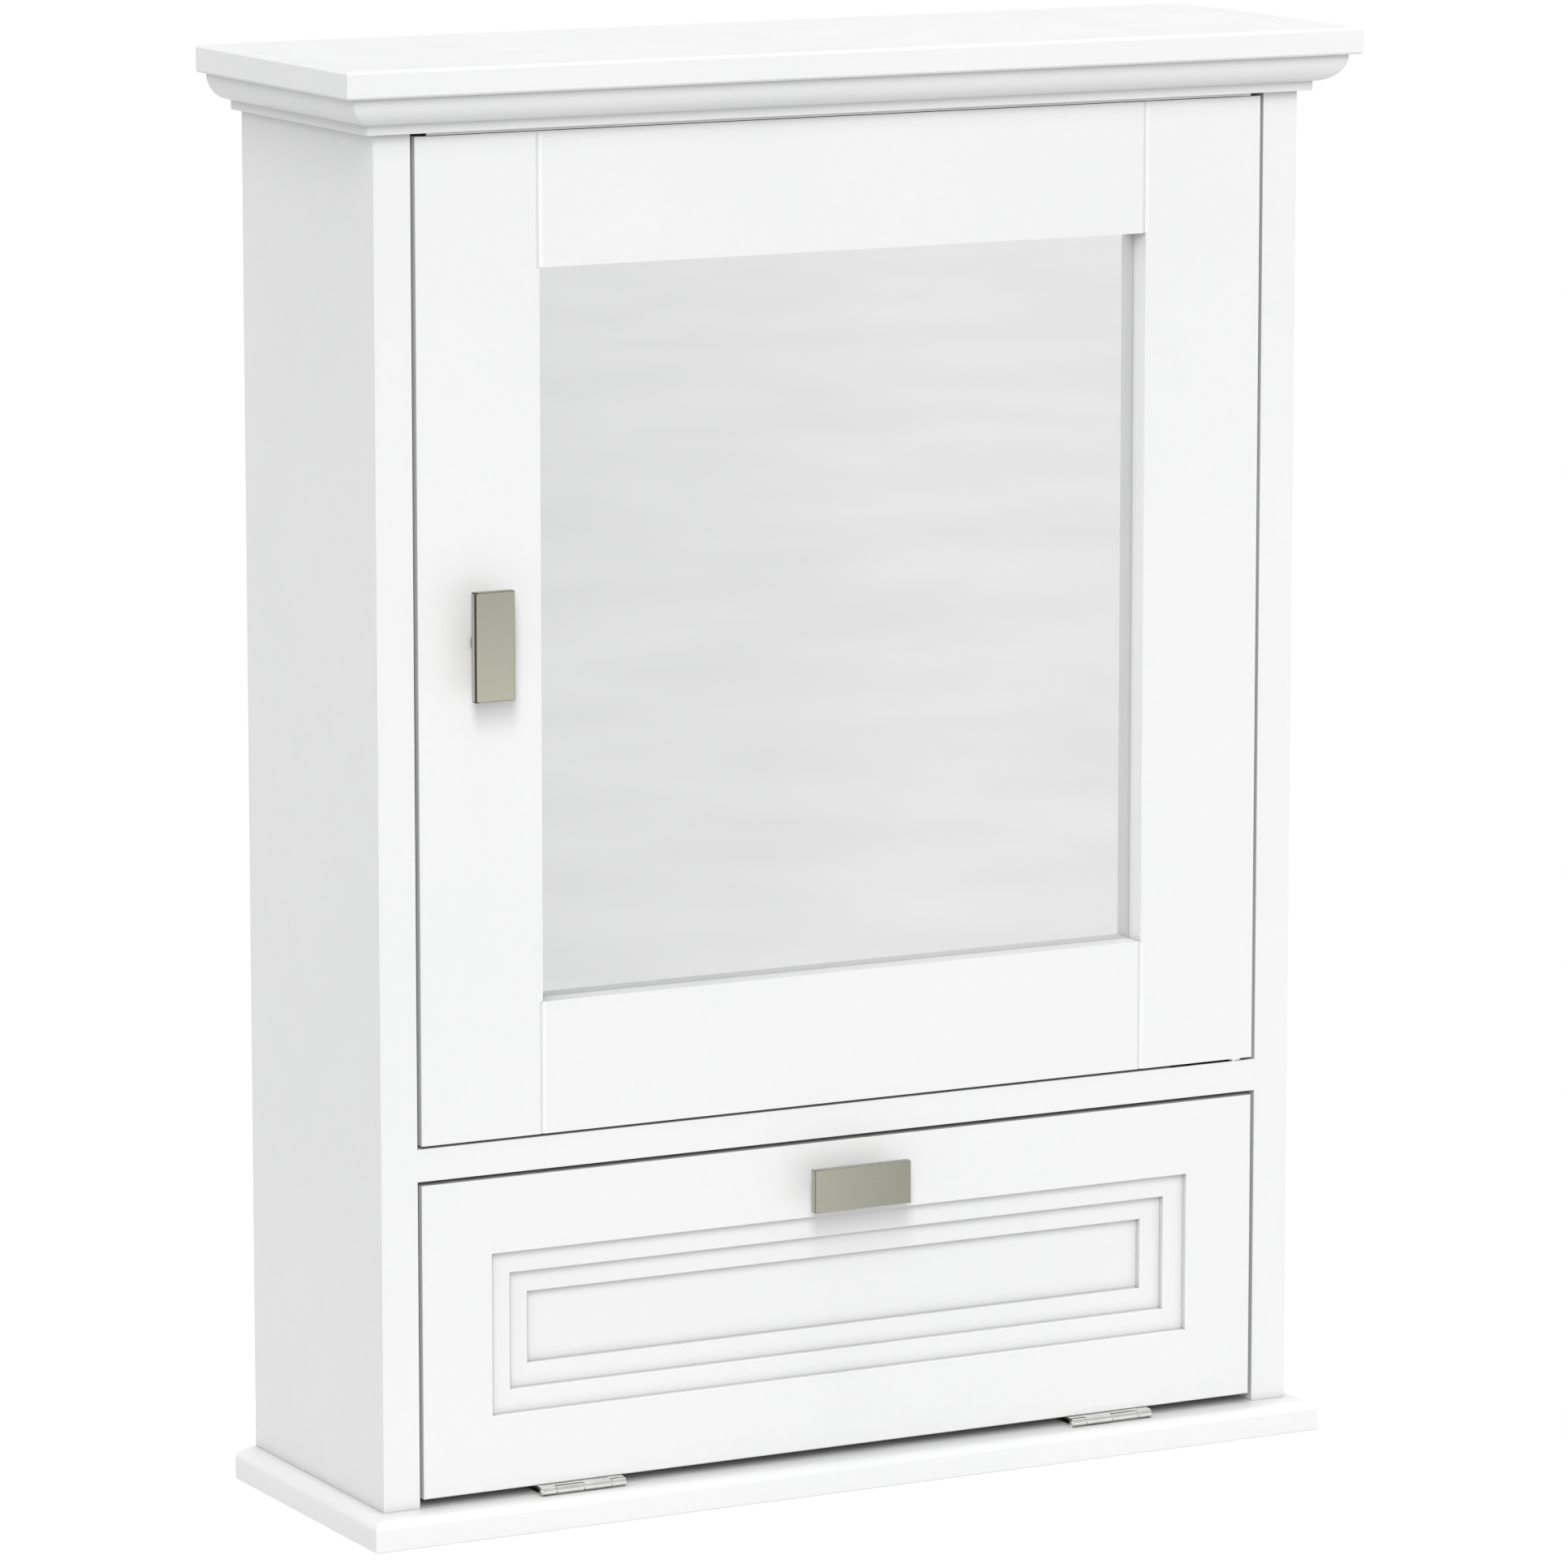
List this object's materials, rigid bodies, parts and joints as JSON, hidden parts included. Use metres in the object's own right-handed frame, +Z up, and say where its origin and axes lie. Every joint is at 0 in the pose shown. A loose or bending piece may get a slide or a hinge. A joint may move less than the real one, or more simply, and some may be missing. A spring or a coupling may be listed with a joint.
{
  "type": "hanging wall cabinet",
  "caption": "White hanging wall cabinet with a mirrored framed door above a drop-down flap, small plate pulls, loose shelves, a moulded crown and a base board.",
  "frame": {"origin": "midway between the two hanging holes, on the wall plane", "axes": "+Z up, +Y into the wall, +X to the right seen from the front; the front faces -Y"},
  "size_m": [0.519, 0.1635, 0.6692],
  "materials": {
    "white_lacquered_wood": "satin white lacquer over smooth board",
    "mirror_glass": "clear silvered mirror",
    "backing_board": "smooth hardboard",
    "bare_wood": "turned beech",
    "satin_champagne_metal": "satin champagne nickel",
    "white_plastic": "moulded white plastic",
    "magnet": "sintered magnet",
    "bright_nickel_steel": "nickel-plated steel"
  },
  "bodies": {
    "root": {"left_side_panel": "white_lacquered_wood", "right_side_panel": "white_lacquered_wood", "top_panel": "white_lacquered_wood", "divider_panel": "white_lacquered_wood", "back_panel": "white_lacquered_wood", "back_panel_nails": "bright_nickel_steel", "hanging_rail": "white_lacquered_wood", "top_board": "white_lacquered_wood", "top_board_screws": "bright_nickel_steel", "crown_front": "white_lacquered_wood", "crown_left": "white_lacquered_wood", "crown_right": "white_lacquered_wood", "base_board": "white_lacquered_wood", "base_screws": "bright_nickel_steel", "carcass_dowels": "bare_wood", "upper_shelf": "white_lacquered_wood", "lower_shelf": "white_lacquered_wood", "shelf_pins": "bright_nickel_steel", "top_pivot_plate": "bright_nickel_steel", "bottom_pivot_plate": "bright_nickel_steel", "pivot_pins": "bright_nickel_steel", "pivot_washers": "bright_nickel_steel", "pivot_plate_screws": "bright_nickel_steel", "door_catch_housing": "white_plastic", "door_catch_magnet": "magnet", "door_catch_screws": "bright_nickel_steel", "left_base_leaf": "bright_nickel_steel", "right_base_leaf": "bright_nickel_steel", "flap_hinge_pins": "bright_nickel_steel", "base_leaf_screws": "bright_nickel_steel", "flap_catch_housing": "white_plastic", "flap_catch_magnet": "magnet", "flap_catch_screws": "bright_nickel_steel"},
    "door": {"door_left_stile": "white_lacquered_wood", "door_right_stile": "white_lacquered_wood", "door_top_rail": "white_lacquered_wood", "door_bottom_rail": "white_lacquered_wood", "door_dowels": "bare_wood", "mirror_glass": "mirror_glass", "mirror_backing": "backing_board", "mirror_clips": "white_plastic", "mirror_clip_screws": "bright_nickel_steel", "door_pull": "satin_champagne_metal", "door_pull_screw": "bright_nickel_steel", "top_pivot_leaf": "bright_nickel_steel", "bottom_pivot_leaf": "bright_nickel_steel", "pivot_leaf_screws": "bright_nickel_steel", "door_strike_plate": "bright_nickel_steel", "door_strike_screws": "bright_nickel_steel"},
    "flap": {"flap_panel": "white_lacquered_wood", "flap_pull": "satin_champagne_metal", "flap_pull_screw": "bright_nickel_steel", "left_flap_leaf": "bright_nickel_steel", "right_flap_leaf": "bright_nickel_steel", "flap_leaf_screws": "bright_nickel_steel", "flap_strike_plate": "bright_nickel_steel", "flap_strike_screws": "bright_nickel_steel"}
  },
  "joints": [
    {"name": "door_swing", "type": "hinge", "parent": "root", "child": "door", "pos_m": [0.21, -0.1365, -0.19895], "axis": [0, 0, 1], "range_deg": [0, 110]},
    {"name": "flap_drop", "type": "hinge", "parent": "root", "child": "flap", "pos_m": [0, -0.146, -0.5922], "axis": [1, 0, 0], "range_deg": [0, 90]}
  ]
}
